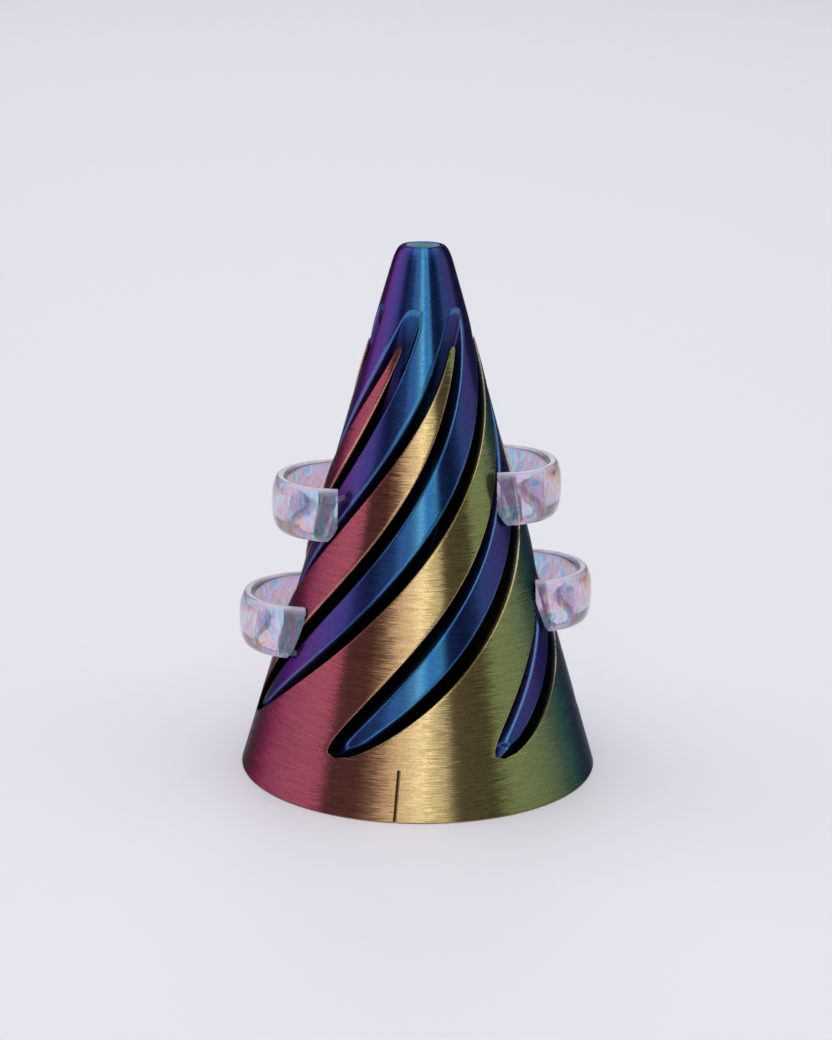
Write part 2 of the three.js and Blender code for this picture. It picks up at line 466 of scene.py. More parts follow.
# %% Spiral section
LOBE_TIP = LOBE_HALF[0][0] * MM
CORE = LOBE_HALF[-1][0] * MM
STAND_BACK = 0.7 * MM
LEVEL_FROM = 40 * MM
LEVEL_AT = 93 * MM


def spiral_radius(z):
    share = min(max((z - LEVEL_FROM) / (LEVEL_AT - LEVEL_FROM), 0), 1)
    return cone_radius(z) - STAND_BACK * (1 - share)


def lobe_half(z, side):
    radius = min(spiral_radius(z), LOBE_TIP)
    if radius <= CORE:
        return circle_half(radius)
    return half_section(
        radius,
        half_angle(LOBE_HALF, radius),
        CORE,
        lambda r: half_angle(LOBE_HALF, r),
        LOBE_CORNERS[side],
    )


def both_halves(section):
    return {-1: section, 1: section}


print("the grooves end at", round((FOOT_RADIUS - CORE) / TAPER / MM, 1), "mm")

# %% Spiral rows
SHOULDER = 3.4 * MM
SHOULDER_STEPS = 12
TOP_FLAT = 3.75 * MM
BUTTON_RADIUS = 3.3 * MM
BUTTON_THICK = 0.9 * MM
BUTTON_GAP = 0.12 * MM
RECESS_CHAMFER = 0.12 * MM
STEM_RADIUS = 1.2 * MM
STEM_LENGTH = 6.5 * MM
FLOOR_SHARES = (0, 0.35, 0.7)  # rings that close the spiral's underside

lobe_start = (cone_radius(0) - STAND_BACK - LOBE_TIP) / TAPER
groove_end = (FOOT_RADIUS - CORE) / TAPER
shoulder_foot = HEIGHT - SHOULDER
lobe_rows = [
    (z, {side: lobe_half(z, side) for side in (-1, 1)})
    for z in heights([0, lobe_start, lobe_start + 3 * MM, groove_end, shoulder_foot], ROW_STEP)
]
foot = lobe_rows[0][1]
floor_rows = [
    (0, {side: [(r * share, a) for r, a in foot[side]] for side in foot})
    for share in FLOOR_SHARES
]
cap_profile = []
for k in range(1, SHOULDER_STEPS + 1):
    t = k / SHOULDER_STEPS
    corner = 2 * t * (1 - t) * cone_radius(HEIGHT)
    across = (1 - t) ** 2 * cone_radius(shoulder_foot) + corner + t**2 * TOP_FLAT
    cap_profile.append((across, HEIGHT - SHOULDER * (1 - t) ** 2))
recess = BUTTON_RADIUS + BUTTON_GAP
recess_floor = HEIGHT - BUTTON_THICK - BUTTON_GAP
bore = STEM_RADIUS + BUTTON_GAP
bore_floor = HEIGHT - STEM_LENGTH - BUTTON_GAP
cap_profile += [
    (recess + RECESS_CHAMFER, HEIGHT),
    (recess, HEIGHT - RECESS_CHAMFER),
    (recess, recess_floor),
    (bore, recess_floor),
    (bore, bore_floor),
    (0, bore_floor),
]
cap_rows = [(z, both_halves(circle_half(r))) for r, z in cap_profile]
spiral_rows = floor_rows + lobe_rows + cap_rows
print("rows of the spiral:", len(spiral_rows))


# %% Spiral skin
def lobe_place(column, row):
    side = -1 if column < HALF_WALK else 1
    z, halves = spiral_rows[row]
    radius, angle = halves[side][abs(column - HALF_WALK)]
    return polar(radius, lobe_azimuth(z) + side * angle, z)


spiral = wrapped_grid("spiral_skin", 2 * HALF_WALK, len(spiral_rows) - 1, lobe_place)
turn_copies(spiral)
smooth(spiral, PRINT_EDGE)
print("spiral:", faces_of(spiral), "faces")

# %% [markdown]
# ## Finger button
# The flat disc at the very top sits in a shallow recess of the cap, on a short stem. It starts
# as a cylinder. Its lower face is inset and extruded down to make the stem, its top is dished a
# little for a fingertip, and a bevel softens every rim as the first and last layers do.

# %% Button
BUTTON_SIDES = 64
DISH_RIM = 0.5 * MM
DISH_DEPTH = 0.06 * MM
BUTTON_BEVEL = 0.16 * MM

deselect()
bpy.ops.mesh.primitive_cylinder_add(
    vertices=BUTTON_SIDES,
    radius=BUTTON_RADIUS,
    depth=BUTTON_THICK,
    location=(0, 0, HEIGHT - BUTTON_THICK / 2),
)
button = bpy.context.object
button.name = "button_disc"
place_in_mesh(button)
select_faces(button, lambda polygon: polygon.normal.z < -0.9)
bpy.ops.mesh.inset(thickness=BUTTON_RADIUS - STEM_RADIUS)
bpy.ops.mesh.extrude_region_move(
    TRANSFORM_OT_translate={"value": (0, 0, BUTTON_THICK - STEM_LENGTH)}
)
bpy.ops.object.mode_set(mode="OBJECT")
select_faces(button, lambda polygon: polygon.normal.z > 0.9)
bpy.ops.mesh.inset(thickness=DISH_RIM, depth=-DISH_DEPTH)
bpy.ops.object.mode_set(mode="OBJECT")
bevel(button, BUTTON_BEVEL)
smooth(button, SMALL_EDGE)
print("button:", faces_of(button), "faces")

# %% [markdown]
# ## Clear loops
# Each loop is a wide C of clear resin, standing off the cone like a cuff. Its wall is rounded
# outside and squared off inside. A bent, bevelled curve could make it, but not so uneven a
# section, so one ring of points is shaped to that section and spun round the loop's own
# upright axis, from one end of the C to the other. Then the cone itself, made a hair larger,
# trims the ends to fit its flank, and a small bevel rounds them.

# %% One loop
CUFF_GAP = 0.3 * MM
CUFF_HALF_HEIGHT = 5.25 * MM
CUFF_HALF_WALL = 1.5 * MM
CUFF_SPAN = math.radians(90)
CUFF_POINTS = 44
CUFF_STEPS = 88
OUTSIDE_POWERS = (2, 2.3)  # across the wall and up it: 2 is an oval, and more is squarer
INSIDE_POWERS = (4, 5)
# name: mid height, azimuth of its middle, outermost reach from the axis, outer radius
CUFFS = {
    "upper_left": (53.5, -90, 29.0, 13.3),
    "upper_right": (57, 90, 27.5, 12.9),
    "lower_left": (30, -90, 35.5, 13.8),
    "lower_right": (35, 95, 34.1, 12.6),
}


def rounded(value, power):
    """A sine or cosine drawn towards a box's side, as on a squared-off oval."""
    return math.copysign(abs(value) ** (2 / power), value)


def cuff_loop(name, z_mm, azimuth_deg, reach_mm, radius_mm):
    azimuth = math.radians(azimuth_deg)
    middle = radius_mm * MM - CUFF_HALF_WALL
    centre = polar((reach_mm - radius_mm) * MM, azimuth, z_mm * MM)
    start = azimuth - CUFF_SPAN
    deselect()
    bpy.ops.mesh.primitive_circle_add(vertices=CUFF_POINTS, radius=1, fill_type="NGON")
    loop = bpy.context.object
    loop.name = "loop_" + name
    for k, vertex in enumerate(loop.data.vertices):
        turn = math.tau * k / CUFF_POINTS
        across, up = math.cos(turn), math.sin(turn)
        powers = OUTSIDE_POWERS if across > 0 else INSIDE_POWERS
        out = CUFF_HALF_WALL * rounded(across, powers[0])
        height = CUFF_HALF_HEIGHT * rounded(up, powers[1])
        vertex.co = centre + polar(middle + out, start, height)
    bpy.ops.object.mode_set(mode="EDIT")
    bpy.ops.mesh.select_all(action="SELECT")
    bpy.ops.mesh.spin(
        steps=CUFF_STEPS,
        dupli=False,
        angle=-2 * CUFF_SPAN,  # a positive spin turns clockwise, seen from above
        center=centre,
        axis=(0, 0, 1),
    )
    bpy.ops.mesh.select_all(action="SELECT")
    bpy.ops.mesh.remove_doubles(threshold=MERGE)
    bpy.ops.mesh.normals_make_consistent(inside=False)
    bpy.ops.object.mode_set(mode="OBJECT")
    return loop


print("loops to make:", ", ".join(CUFFS))

# %% Loops, trimmed and bevelled
TRIM_SIDES = 256
TRIM_BELOW = 4 * MM
END_BEVEL = 0.3 * MM


def trimming_cone():
    deselect()
    low, high = -TRIM_BELOW, HEIGHT
    bpy.ops.mesh.primitive_cone_add(
        vertices=TRIM_SIDES,
        radius1=cone_radius(low) + CUFF_GAP,
        radius2=cone_radius(high) + CUFF_GAP,
        depth=high - low,
        location=(0, 0, (low + high) / 2),
    )
    cone = bpy.context.object
    place_in_mesh(cone)
    return cone


loops = {}
for name, measures in CUFFS.items():
    loop = cuff_loop(name, *measures)
    cut(loop, trimming_cone())
    bevel(loop, END_BEVEL)
    smooth(loop, SMALL_EDGE)
    loops[name] = loop
    print(loop.name, faces_of(loop), "faces")

# %% [markdown]
# ## Materials
# Everything here is printed or cast plastic. The two prints are silk PLA, a filament with fine
# pearl pigment that shines like satin along the print lines. The filament is drawn from several
# colours side by side, so each side of the cone shows another colour. A few helpers serve every
# material: one turns a hex colour to linear, one adds a node, and one fills a colour ramp.

# %% Material helpers
def srgb(hex_code):
    """An sRGB hex colour as the linear numbers that a shader takes."""
    channels = [int(hex_code[k : k + 2], 16) / 255 for k in (1, 3, 5)]
    linear = [c / 12.92 if c <= 0.04045 else ((c + 0.055) / 1.055) ** 2.4 for c in channels]
    return (*linear, 1)


def add_node(tree, kind, settings=None, out=0, **sockets):
    """Adds a node, sets its settings, fills or links its inputs, and returns one output.

    An input goes by its name, with _ for a space, or by i_ and its number. out is the name or
    number of the output, and None returns the node itself.
    """
    made = tree.nodes.new(kind)
    for key, value in (settings or {}).items():
        setattr(made, key, value)
    for key, value in sockets.items():
        index = int(key[2:]) if key.startswith("i_") else key.replace("_", " ")
        socket = made.inputs[index]
        if isinstance(value, bpy.types.NodeSocket):
            tree.links.new(value, socket)
        else:
            socket.default_value = value
    return made if out is None else made.outputs[out]


def change(start, end, before, after):
    """Inputs for a Map Range: the value start gives before, and the value end gives after."""
    return {"From_Min": start, "From_Max": end, "To_Min": before, "To_Max": after}


def fill_ramp(ramp, stops):
    """Fills a colour ramp with (place, hex) stops, and returns its colour."""
    elements = ramp.color_ramp.elements
    while len(elements) < len(stops):
        elements.new(0.5)
    for element, (place, code) in zip(elements, stops):
        element.position = place
        element.color = srgb(code)
    return ramp.outputs["Color"]


def new_material(name):
    material = bpy.data.materials.new(name)
    material.use_nodes = True
    material.node_tree.nodes.clear()
    return material, material.node_tree


def finish_material(tree, shader):
    add_node(tree, "ShaderNodeOutputMaterial", out=None, Surface=shader)


def dress(obj, material):
    obj.data.materials.clear()
    obj.data.materials.append(material)
    print(obj.name, "wears", material.name)


# %% [markdown]
# ## Silk PLA: its strands of colour
# Silk PLA comes off the spool with several colours side by side, and the nozzle lays each colour
# on its own side of the print. Painting faces would give hard borders, so a colour ramp reads
# the azimuth round the cone's axis instead. The ramp also holds painted light: its darker stops
# are painted shade bands of the sheen, and a lighter stop can be a painted highlight. The layers
# are never quite alike, so a noise that is stretched flat, one layer high and many layers long,
# pushes the borders to and fro.

# %% Silk PLA strands
LAYER_MM = 0.3  # a real layer is 0.2 mm high, which is too fine to show
STREAK_MM = 7  # how far one layer keeps its thickness before it varies
WANDER = 0.03  # how far the colours wander round the axis, as a share of a turn, when ragged is 1
MULTIPLY = {"operation": "MULTIPLY"}
SUBTRACT = {"operation": "SUBTRACT"}
ADD = {"operation": "ADD"}
SMOOTH = {"interpolation_type": "SMOOTHSTEP"}


def strand_colours_and_painted_bands(tree, place, streaks, ragged, stops):
    """Filament colours, with painted shade and highlight bands: stops are (degrees, hex)."""
    away = add_node(tree, "ShaderNodeSeparateXYZ", out=None, Vector=place).outputs
    back = add_node(tree, "ShaderNodeMath", MULTIPLY, i_0=away["Y"], i_1=-1)
    turn = add_node(tree, "ShaderNodeMath", {"operation": "ARCTAN2"}, i_0=away["X"], i_1=back)
    azimuth = add_node(
        tree, "ShaderNodeMapRange", Value=turn, **change(-math.pi, math.pi, 0, 1)
    )
    to_and_fro = change(0, 1, -WANDER * ragged, WANDER * ragged)
    wander = add_node(tree, "ShaderNodeMapRange", SMOOTH, Value=streaks, **to_and_fro)
    factor = add_node(tree, "ShaderNodeMath", ADD, i_0=wander, i_1=azimuth)
    ramp = add_node(tree, "ShaderNodeValToRGB", out=None, Fac=factor)
    return fill_ramp(ramp, [(0.5 + degrees / 360, code) for degrees, code in stops])


print("layers are drawn", LAYER_MM, "mm high")

# %% [markdown]
# ## Silk PLA: lips and slots
# A print's corners catch the light as thin bright lips, and its slots swallow it. Lamps alone
# show both weakly at this size, so both are painted into the colour: a painted highlight along
# each corner, and painted shade down in the slots. How deep a point lies inside the cone's face
# follows from its radius and height. Just inside the face the highlight's colour comes in, and
# further down the painted shade deepens.

# %% Silk PLA lips and shade
LIP_HIGHLIGHT_IN = (0.02 * MM, 0.1 * MM)  # the depths where the painted highlight on a corner begins
LIP_HIGHLIGHT_OUT = (0.25 * MM, 0.5 * MM)  # and where it fades
SHADE_FROM = 0.4 * MM
BELOW_SHOULDER = (97 * MM, 99 * MM)  # above this the cap's shoulder is no slot
NOISE_MIDDLE = (0.3, 0.7)  # a noise's values are mostly between these
SPECKLE = 0.14


def depth_in(tree, place, stand_back):
    """How far a point lies inside the outermost face of its print, in metres."""
    flat = add_node(tree, "ShaderNodeVectorMath", MULTIPLY, i_0=place, i_1=(1, 1, 0))
    radius = add_node(
        tree, "ShaderNodeVectorMath", {"operation": "LENGTH"}, out="Value", i_0=flat
    )
    height = add_node(tree, "ShaderNodeSeparateXYZ", out="Z", Vector=place)
    cone = add_node(
        tree,
        "ShaderNodeMath",
        {"operation": "MULTIPLY_ADD"},
        i_0=height,
        i_1=-TAPER,
        i_2=FOOT_RADIUS,
    )
    levelling = change(LEVEL_FROM, LEVEL_AT, stand_back, 0)
    back = add_node(tree, "ShaderNodeMapRange", Value=height, **levelling)
    face = add_node(tree, "ShaderNodeMath", SUBTRACT, i_0=cone, i_1=back)
    inside = add_node(tree, "ShaderNodeMath", SUBTRACT, i_0=face, i_1=radius)
    fading = change(*BELOW_SHOULDER, 1, 0)
    counts = add_node(tree, "ShaderNodeMapRange", SMOOTH, Value=height, **fading)
    return add_node(tree, "ShaderNodeMath", MULTIPLY, i_0=inside, i_1=counts)


def with_painted_lip_highlights(tree, strand_and_painted_light, depth, lip_highlight, strength):
    """The filament's colour with a painted highlight along each printed corner."""
    begins = add_node(
        tree, "ShaderNodeMapRange", SMOOTH, Value=depth, **change(*LIP_HIGHLIGHT_IN, 0, 1)
    )
    fades = add_node(
        tree, "ShaderNodeMapRange", SMOOTH, Value=depth, **change(*LIP_HIGHLIGHT_OUT, strength, 0)
    )
    on_lip_highlight = add_node(tree, "ShaderNodeMath", MULTIPLY, i_0=begins, i_1=fades)
    blend = {"data_type": "RGBA", "blend_type": "MIX"}
    return add_node(
        tree, "ShaderNodeMix", blend, out=2, i_0=on_lip_highlight, i_6=strand_and_painted_light, i_7=srgb(lip_highlight)
    )


def print_tone_and_shade(tree, streaks, pearl, depth, mottle, shade_to, deepest):
    """Brightness over the print: uneven layers, pearl specks, and painted shade down in the slots.
    """
    unevenness = change(*NOISE_MIDDLE, 1 - mottle, 1 + mottle)
    uneven = add_node(tree, "ShaderNodeMapRange", SMOOTH, Value=streaks, **unevenness)
    specks = change(*NOISE_MIDDLE, 1 - SPECKLE, 1 + SPECKLE)
    speckle = add_node(tree, "ShaderNodeMapRange", SMOOTH, Value=pearl, **specks)
    # painted shade: darker the deeper a point lies in a slot
    shading = change(SHADE_FROM, shade_to, 1, deepest)
    shade = add_node(tree, "ShaderNodeMapRange", SMOOTH, Value=depth, **shading)
    surface = add_node(tree, "ShaderNodeMath", MULTIPLY, i_0=uneven, i_1=speckle)
    return add_node(tree, "ShaderNodeMath", MULTIPLY, i_0=surface, i_1=shade)


print("a lip is", round((LIP_HIGHLIGHT_OUT[1] - LIP_HIGHLIGHT_IN[0]) / MM, 2), "mm wide at most")

# %% [markdown]
# ## Silk PLA: its sheen
# Light glances off thousands of level layers, so it is drawn out into soft upright bands, as on
# brushed metal. The shader is mostly metallic for the pearl pigment, and anisotropic round the
# upright axis. Real layers also lean a little left or right, so the layers' grain tips the
# normal sideways. That, and a slight bump, breaks the edges of the bands into fine rags.

# %% Silk PLA
PEARL_MM = 0.25  # a speck of pearl pigment, drawn coarser than it is
GRAIN = 2.3  # the grain is this many times finer than the streaks
STRETCH = 0.75  # how far the sheen is drawn out along the axis
DARK_EDGE = "#686870"  # the sheen stays dim where a face is seen edge on


def layer_normal(tree, streaks, grain, round_axis, ragged, relief):
    """The surface normal, tipped and bumped by the layers."""
    tip = {"Value": grain, "To_Min": -ragged, "To_Max": ragged}
    sideways = add_node(tree, "ShaderNodeMapRange", {"clamp": False}, **tip)
    aside = add_node(
        tree, "ShaderNodeVectorMath", {"operation": "SCALE"}, i_0=round_axis, Scale=sideways
    )
    straight = add_node(tree, "ShaderNodeNewGeometry", out="Normal")
    tipped = add_node(tree, "ShaderNodeVectorMath", ADD, i_0=straight, i_1=aside)
    facing = add_node(
        tree, "ShaderNodeVectorMath", {"operation": "NORMALIZE"}, i_0=tipped
    )
    return add_node(
        tree, "ShaderNodeBump", Height=streaks, Strength=0.5, Distance=relief, Normal=facing
    )


def silk_pla(
    name,
    stops,
    lip_highlight,
    stand_back,
    ragged,
    relief,
    mottle,
    shade_to,
    deepest=0.12,
    lip_highlight_strength=0.6,
    metallic=0.88,
    roughness=0.27,
):
    """Silk PLA whose filament colours follow the azimuth: stops are (degrees, hex), and some of
    them are painted shade and highlight bands.

    lip_highlight is the colour of the painted highlight along a printed corner, stand_back how
    far the print stands back from the cone low down, ragged how far a layer's face may look aside,
    as a slope, relief how far layers stand out, mottle how uneven their brightness is, and
    shade_to the depth where the painted shade in a slot is deepest.
    """
    material, tree = new_material(name)
    place = add_node(tree, "ShaderNodeTexCoord", out="Object")
    streak, layer = 1 / (STREAK_MM * MM), 1 / (LAYER_MM * MM)
    layers = add_node(
        tree, "ShaderNodeMapping", Vector=place, Scale=(streak, streak, layer)
    )
    streaks = add_node(
        tree, "ShaderNodeTexNoise", Vector=layers, Scale=1, Detail=3, Roughness=0.6
    )
    grain = add_node(
        tree, "ShaderNodeTexNoise", Vector=layers, Scale=GRAIN, Detail=2, Roughness=0.5
    )
    pearl = add_node(
        tree, "ShaderNodeTexNoise", Vector=place, Scale=1 / (PEARL_MM * MM), Detail=1
    )
    depth = depth_in(tree, place, stand_back)
    strand_and_painted_light = strand_colours_and_painted_bands(tree, place, streaks, ragged, stops)
    strand_and_painted_light = with_painted_lip_highlights(tree, strand_and_painted_light, depth, lip_highlight, lip_highlight_strength)
    tone_and_shade = print_tone_and_shade(tree, streaks, pearl, depth, mottle, shade_to, deepest)
    darken = {"data_type": "RGBA", "blend_type": "MULTIPLY"}
    colour = add_node(tree, "ShaderNodeMix", darken, out=2, i_0=1, i_6=strand_and_painted_light, i_7=tone_and_shade)
    dulling = change(*NOISE_MIDDLE, roughness - 0.04, roughness + 0.06)
    dullness = add_node(tree, "ShaderNodeMapRange", SMOOTH, Value=grain, **dulling)
    round_axis = add_node(
        tree, "ShaderNodeTangent", {"direction_type": "RADIAL", "axis": "Z"}
    )
    shader = add_node(
        tree,
        "ShaderNodeBsdfPrincipled",
        Base_Color=colour,
        Metallic=metallic,
        Roughness=dullness,
        Specular_Tint=srgb(DARK_EDGE),
        Anisotropic=STRETCH,
        Anisotropic_Rotation=0.25,
        Normal=layer_normal(tree, streaks, grain, round_axis, ragged, relief),
        Tangent=round_axis,
    )
    finish_material(tree, shader)
    print(name, "has", len(tree.nodes), "nodes")
    return material


# %% [markdown]
# ## The three silks
# The sleeve's filament runs from rose through gold to green, and on to blue and violet at the
# back. Its layers are rough to the eye. The spiral's runs from violet to blue and is far
# calmer, and its deep grooves get a paler painted shade. The button is plain teal and hardly
# pearly. The darker stops near the front are painted shade: they deepen the bands of the
# sheen, which soft light leaves pale. The spiral's lighter stop straight in front is a painted
# highlight.

# %% Rose, gold and green silk
sleeve_silk = silk_pla(
    "silk_pla_rose_gold_green",
    [
        (-180, "#54569a"),
        (-140, "#744890"),
        (-105, "#84406c"),
        (-72, "#84405c"),
        (-58, "#a04c64"),
        (-44, "#a85062"),
        (-33, "#a85060"),
        # painted shade: a dark band of the sheen, from -30 to -20 degrees
        (-30, "#744040"),
        (-20, "#7c4c3e"),
        (-13, "#b48a66"),
        (-5, "#c8a87a"),
        (0, "#ccb280"),
        (10, "#b8a470"),
        # painted shade: a dark band of the sheen, from 13 to 26 degrees
        (13, "#7c6c48"),
        (26, "#6c643e"),
        (29, "#7c8250"),
        (42, "#748052"),
        (52, "#667452"),
        (62, "#4e6a5c"),
        (75, "#2c5a6c"),
        (100, "#2c6480"),
        (135, "#346090"),
        (180, "#54569a"),
    ],
    # the colour of the painted highlight along each printed corner
    lip_highlight="#e8b890",
    stand_back=0,
    ragged=0.2,
    relief=0.015 * MM,
    mottle=0.13,
    shade_to=1.3 * MM,
)
dress(sleeve, sleeve_silk)

# %% Violet and blue silk
spiral_silk = silk_pla(
    "silk_pla_violet_blue",
    [
        (-180, "#3058a8"),
        (-130, "#4a3c94"),
        (-82, "#5c3470"),
        (-58, "#683c88"),
        (-45, "#50408a"),
        # painted shade: a dark band of the sheen, about -30 to -25 degrees
        (-30, "#34387c"),
        (-25, "#283068"),
        (-18, "#30508c"),
        (-6, "#2c5688"),
        # painted highlight: the lighter stop straight in front
        (0, "#447c9c"),
        (5, "#2c68a0"),
        (10, "#3878a4"),
        # painted shade: a dark band of the sheen, from 13 to 20 degrees
        (13, "#20386c"),
        (20, "#1c2c58"),
        (28, "#2c4478"),
        (42, "#383a70"),
        (60, "#40386c"),
        (80, "#343c74"),
        (115, "#34408c"),
        (180, "#3058a8"),
    ],
    # the colour of the painted highlight along each printed corner
    lip_highlight="#5c9cd0",
    stand_back=STAND_BACK,
    ragged=0.03,
    relief=0.0015 * MM,
    mottle=0.02,
    shade_to=2.6 * MM,
    deepest=0.35,
    lip_highlight_strength=0.42,
)
dress(spiral, spiral_silk)

# %% Teal silk
button_silk = silk_pla(
    "silk_pla_teal",
    [(0, "#2c647c"), (1, "#2c647c")],
    # the colour of the painted highlight along each printed corner
    lip_highlight="#8cc4d4",
    stand_back=0,
    ragged=0.06,
    relief=0.004 * MM,
    mottle=0.05,
    shade_to=20 * MM,
    metallic=0.25,
    roughness=0.38,
)
dress(button, button_silk)

# %% [markdown]
# ## Opal resin
# The loops are cast in clear resin with an opal sheen: they bend what stands behind them, their
# rims are slightly milky, and patches of pink, blue, green and orange float in the wall. The
# patches are upright streaks that follow the wall's curve. Object coordinates would cut
# straight through it, so each point of a loop gets its distance round the wall, its height and
# its depth as an attribute.

# %% The wall's own coordinates
def store_wrap(loop, z_mm, azimuth_deg, reach_mm, radius_mm):
    """Stores (round the wall, height, outwards) for each point, in metres from the middle."""
    azimuth = math.radians(azimuth_deg)
    centre = polar((reach_mm - radius_mm) * MM, azimuth, z_mm * MM)
    wrap = loop.data.attributes.new("wrap", "FLOAT_VECTOR", "POINT")
    for vertex in loop.data.vertices:
        away = vertex.co - centre
        turn = math.remainder(math.atan2(away.x, -away.y) - azimuth, math.tau)
        radius = math.hypot(away.x, away.y)
        wrap.data[vertex.index].vector = (
            turn * radius_mm * MM,
            away.z,
            radius - radius_mm * MM + CUFF_HALF_WALL,
        )


for name, loop in loops.items():
    store_wrap(loop, *CUFFS[name])
    print(loop.name, "has its own coordinates")

# %% [markdown]
# A noise on those coordinates chooses each patch's tint from a ramp of pale and bright colours.
# Towards the rims the resin turns milky and lets less light through. A thin film on the surface
# adds the colours that turn with the light, and a clear coat the polish.

# %% Opal resin
OPAL_STREAK_MM = 3.4  # the size of a patch round the wall, up it, and through it
OPAL_HEIGHT_MM = 9
OPAL_DEPTH_MM = 4
RIM = (3.9 * MM, 5.1 * MM)  # from the middle of a loop's height
MILKINESS = 0.75
CLEAR_MIDDLE = 0.88
CLEAR_RIM = 0.62
FILM_NM = 320
FILM_IOR = 1.38
RESIN_IOR = 1.5
OPAL_TINTS = [
    (0.34, "#c8f4ea"),
    (0.39, "#70ccf8"),
    (0.44, "#dce8fc"),
    (0.5, "#dcdcf6"),
    (0.54, "#f0a8d8"),
    (0.575, "#e8e4fc"),
    (0.615, "#ffb070"),
    (0.67, "#e4f0ff"),
]

opal, tree = new_material("opal_clear_resin")
wrap = add_node(tree, "ShaderNodeAttribute", {"attribute_name": "wrap"}, out="Vector")
patch_size = (OPAL_STREAK_MM, OPAL_HEIGHT_MM, OPAL_DEPTH_MM)
stretched = add_node(
    tree, "ShaderNodeMapping", Vector=wrap, Scale=[1 / (size * MM) for size in patch_size]
)
patches = add_node(
    tree,
    "ShaderNodeTexNoise",
    Vector=stretched,
    Scale=1,
    Detail=1.5,
    Roughness=0.5,
    Distortion=0.9,
)
tint = fill_ramp(add_node(tree, "ShaderNodeValToRGB", out=None, Fac=patches), OPAL_TINTS)
height = add_node(tree, "ShaderNodeSeparateXYZ", out="Y", Vector=wrap)
from_middle = add_node(tree, "ShaderNodeMath", {"operation": "ABSOLUTE"}, i_0=height)
rim = add_node(tree, "ShaderNodeMapRange", Value=from_middle, **change(*RIM, 0, 1))
milky = add_node(tree, "ShaderNodeMath", MULTIPLY, i_0=rim, i_1=MILKINESS)
blend = {"data_type": "RGBA", "blend_type": "MIX"}
tint = add_node(
    tree, "ShaderNodeMix", blend, out=2, i_0=milky, i_6=tint, i_7=srgb("#e6e4fa")
)
clearness = add_node(
    tree, "ShaderNodeMapRange", Value=rim, **change(0, 1, CLEAR_MIDDLE, CLEAR_RIM)
)
ripple = add_node(
    tree, "ShaderNodeBump", Height=patches, Strength=0.25, Distance=0.4 * MM
)
shader = add_node(
    tree,
    "ShaderNodeBsdfPrincipled",
    Base_Color=tint,
    Roughness=0.09,
    IOR=RESIN_IOR,
    Transmission_Weight=clearness,
    Thin_Film_Thickness=FILM_NM,
    Thin_Film_IOR=FILM_IOR,
    Coat_Weight=0.6,
    Coat_Roughness=0.06,
    Normal=ripple,
)
finish_material(tree, shader)
for loop in loops.values():
    dress(loop, opal)

# %% [markdown]
# ## Pegs
# Small clear pegs pin each loop's ends to the spiral. Their shape in the frame is right as it
# is, so modelling them again would add nothing, and they only get a finish: cast acrylic rod,
# which is clear and glossy, with a faint haze where its bore has rubbed it.

# %% Clear acrylic
ACRYLIC_IOR = 1.49
HAZE = 900  # haze patches per metre, about one a millimetre

clear, tree = new_material("clear_acrylic")
place = add_node(tree, "ShaderNodeTexCoord", out="Object")
haze = add_node(tree, "ShaderNodeTexNoise", Vector=place, Scale=HAZE, Detail=2)
polish = add_node(tree, "ShaderNodeMapRange", Value=haze, To_Min=0.05, To_Max=0.2)
shader = add_node(
    tree,
    "ShaderNodeBsdfPrincipled",
    Base_Color=srgb("#f0eeff"),
    Roughness=polish,
    IOR=ACRYLIC_IOR,
    Transmission_Weight=0.9,
)
finish_material(tree, shader)
for node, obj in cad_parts.items():
    if node.startswith("peg_"):
        dress(obj, clear)

# %% [markdown]
# ## What rides on what
# The frame has three bodies: the sleeve stands still, the button rises, and the spiral rises and
# turns with its loops. Each new piece rides on the body of the CAD node that it replaces.

# %% Riding
for piece, body, node, slot in (
    (sleeve, "sleeve", "outer_sleeve", "silk_gold_plastic"),
    (spiral, "spiral", "inner_spiral", "silk_blue_plastic"),
    (button, "button", "finger_button", "silk_teal_plastic"),
):
    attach(piece, body)
    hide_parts(node)
for name, loop in loops.items():
    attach(loop, "spiral")
    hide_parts("cuff_" + name)
print("riding:", 3 + len(loops), "new pieces")

# %% [markdown]
# ## Floor
# The cone stands on a wide sheet of matt, pale paper. It is so wide that its far edge lies
# beyond the picture, which a curved backdrop would also give, but only from one side.

# %% Floor
FLOOR_SIZE = 8
FIBRE = 1500  # paper fibres per metre, drawn coarse enough to show

deselect()
bpy.ops.mesh.primitive_plane_add(size=FLOOR_SIZE)
floor = bpy.context.object
floor.name = "studio_floor"
paper, tree = new_material("matte_paper_backdrop")
place = add_node(tree, "ShaderNodeTexCoord", out="Object")
fibre = add_node(tree, "ShaderNodeTexNoise", Vector=place, Scale=FIBRE, Detail=2)
matt = add_node(tree, "ShaderNodeMapRange", Value=fibre, To_Min=0.55, To_Max=0.7)
shader = add_node(
    tree, "ShaderNodeBsdfPrincipled", Base_Color=srgb("#dddce4"), Roughness=matt
)
finish_material(tree, shader)
dress(floor, paper)

# %% [markdown]
# ## Soft boxes
# Tall soft boxes stand in front, behind and at both sides, and a large ceiling light brightens
# the floor. The upright gaps between the boxes matter as much as the boxes: silk plastic
# mirrors them as the dark bands that make its sheen readable. A narrow second box in front
# draws the thin bright line down the middle of the cone.

# %% Soft boxes
TARGET = Vector((0, 0, HEIGHT / 2))
BOX_TOP = 1.97
BOX_BOTTOM = 0.05
BACK_BOTTOM = 0.35  # raised, so that it draws no bright line on the floor behind the cone
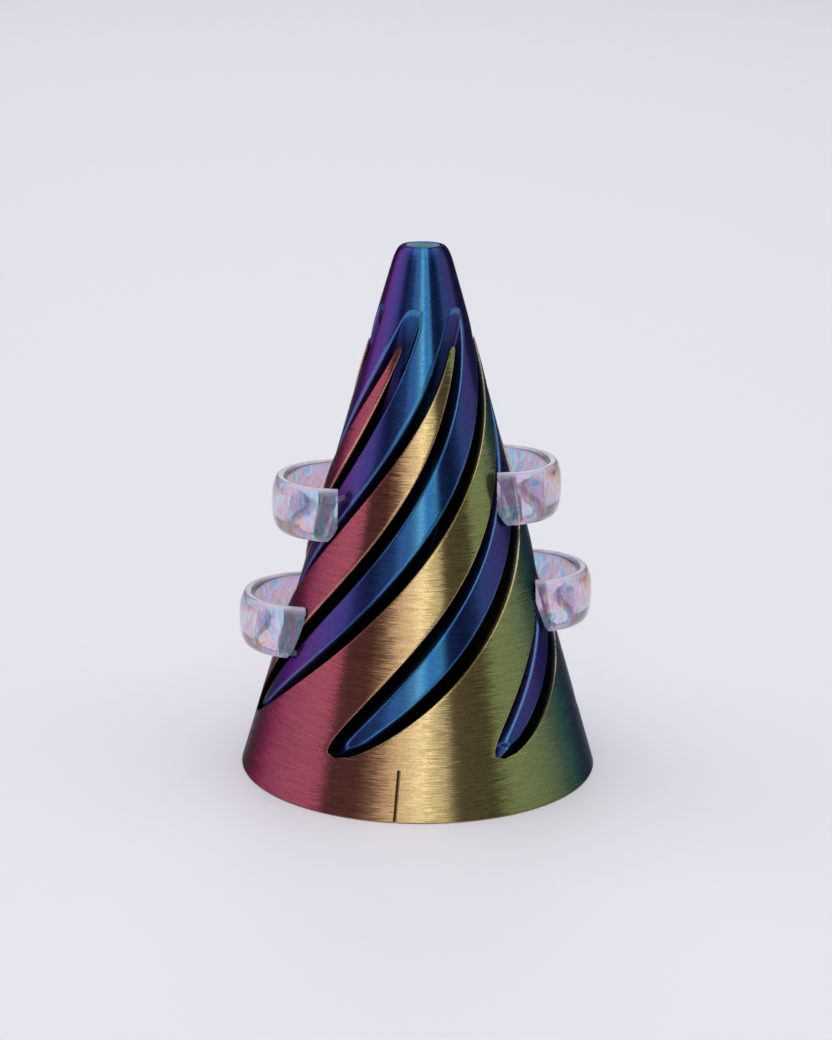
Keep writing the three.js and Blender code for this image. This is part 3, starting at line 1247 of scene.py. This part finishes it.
# name: azimuth in degrees, distance, width, lowest, power in watts
SOFT_BOXES = {
    "front": (-2, 2.2, 1.95, BOX_BOTTOM, 12.9),
    "front_strip": (2, 2.1, 0.16, BOX_BOTTOM, 2.0),
    "left": (-97, 2.2, 2.8, BOX_BOTTOM, 15.0),
    "right": (83, 2.2, 2.2, BOX_BOTTOM, 10.4),
    "back": (180, 2.2, 1.3, BACK_BOTTOM, 6.0),
}
CEILING_SIZE = 6
CEILING_HEIGHT = 3.3
CEILING_POWER = 170
SURROUND_COLOUR = "#e8eaf2"
SURROUND_STRENGTH = 0.08


def soft_box(name, azimuth_deg, distance, width, low, power):
    """A tall soft box that faces the object, from height low up to the boxes' top."""
    place = polar(distance, math.radians(azimuth_deg), (low + BOX_TOP) / 2)
    bpy.ops.object.light_add(type="AREA", location=place)
    light = bpy.context.object
    light.name = name
    light.data.shape = "RECTANGLE"
    light.data.size = width
    light.data.size_y = BOX_TOP - low
    light.data.energy = power
    light.rotation_euler = (TARGET - place).to_track_quat("-Z", "Y").to_euler()
    light.visible_camera = False


deselect()
for name, measures in SOFT_BOXES.items():
    soft_box(name, *measures)

bpy.ops.object.light_add(type="AREA", location=(0, 0, CEILING_HEIGHT))
ceiling = bpy.context.object
ceiling.name = "ceiling"
ceiling.data.shape = "SQUARE"
ceiling.data.size = CEILING_SIZE
ceiling.data.energy = CEILING_POWER
ceiling.visible_camera = False

world = bpy.data.worlds.new("pale_surround")
world.use_nodes = True
bpy.context.scene.world = world
surround = world.node_tree.nodes["Background"]
surround.inputs["Color"].default_value = srgb(SURROUND_COLOUR)
surround.inputs["Strength"].default_value = SURROUND_STRENGTH
print("soft boxes:", ", ".join(SOFT_BOXES))

# %% [markdown]
# ## Camera
# The camera stands half a metre in front of the cone and looks slightly down on it, through a
# short telephoto lens, as for a product picture. It is placed by a matrix rather than by a
# constraint, so that its small roll and turn to the side are exact.

# %% Camera
CAMERA_PLACE = Vector((0, -502.3, 188.9)) * MM
CAMERA_PITCH = math.radians(15.5)
CAMERA_ROLL = math.radians(0.56)
CAMERA_YAW = math.radians(0.09)
LENS_MM = 92.2
SENSOR_MM = 36
NEAREST = 0.01

deselect()
bpy.ops.object.camera_add()
camera = bpy.context.object
camera.name = "camera"
camera.data.lens = LENS_MM
camera.data.sensor_width = SENSOR_MM
camera.data.clip_start = NEAREST
camera.matrix_world = (
    Matrix.Translation(CAMERA_PLACE)
    @ Matrix.Rotation(CAMERA_YAW, 4, "Z")
    @ Matrix.Rotation(math.pi / 2 - CAMERA_PITCH, 4, "X")
    @ Matrix.Rotation(CAMERA_ROLL, 4, "Z")
)
bpy.context.scene.camera = camera
bpy.context.scene.view_settings.view_transform = "Standard"
print("camera at", [round(v / MM, 1) for v in camera.matrix_world.translation], "mm")
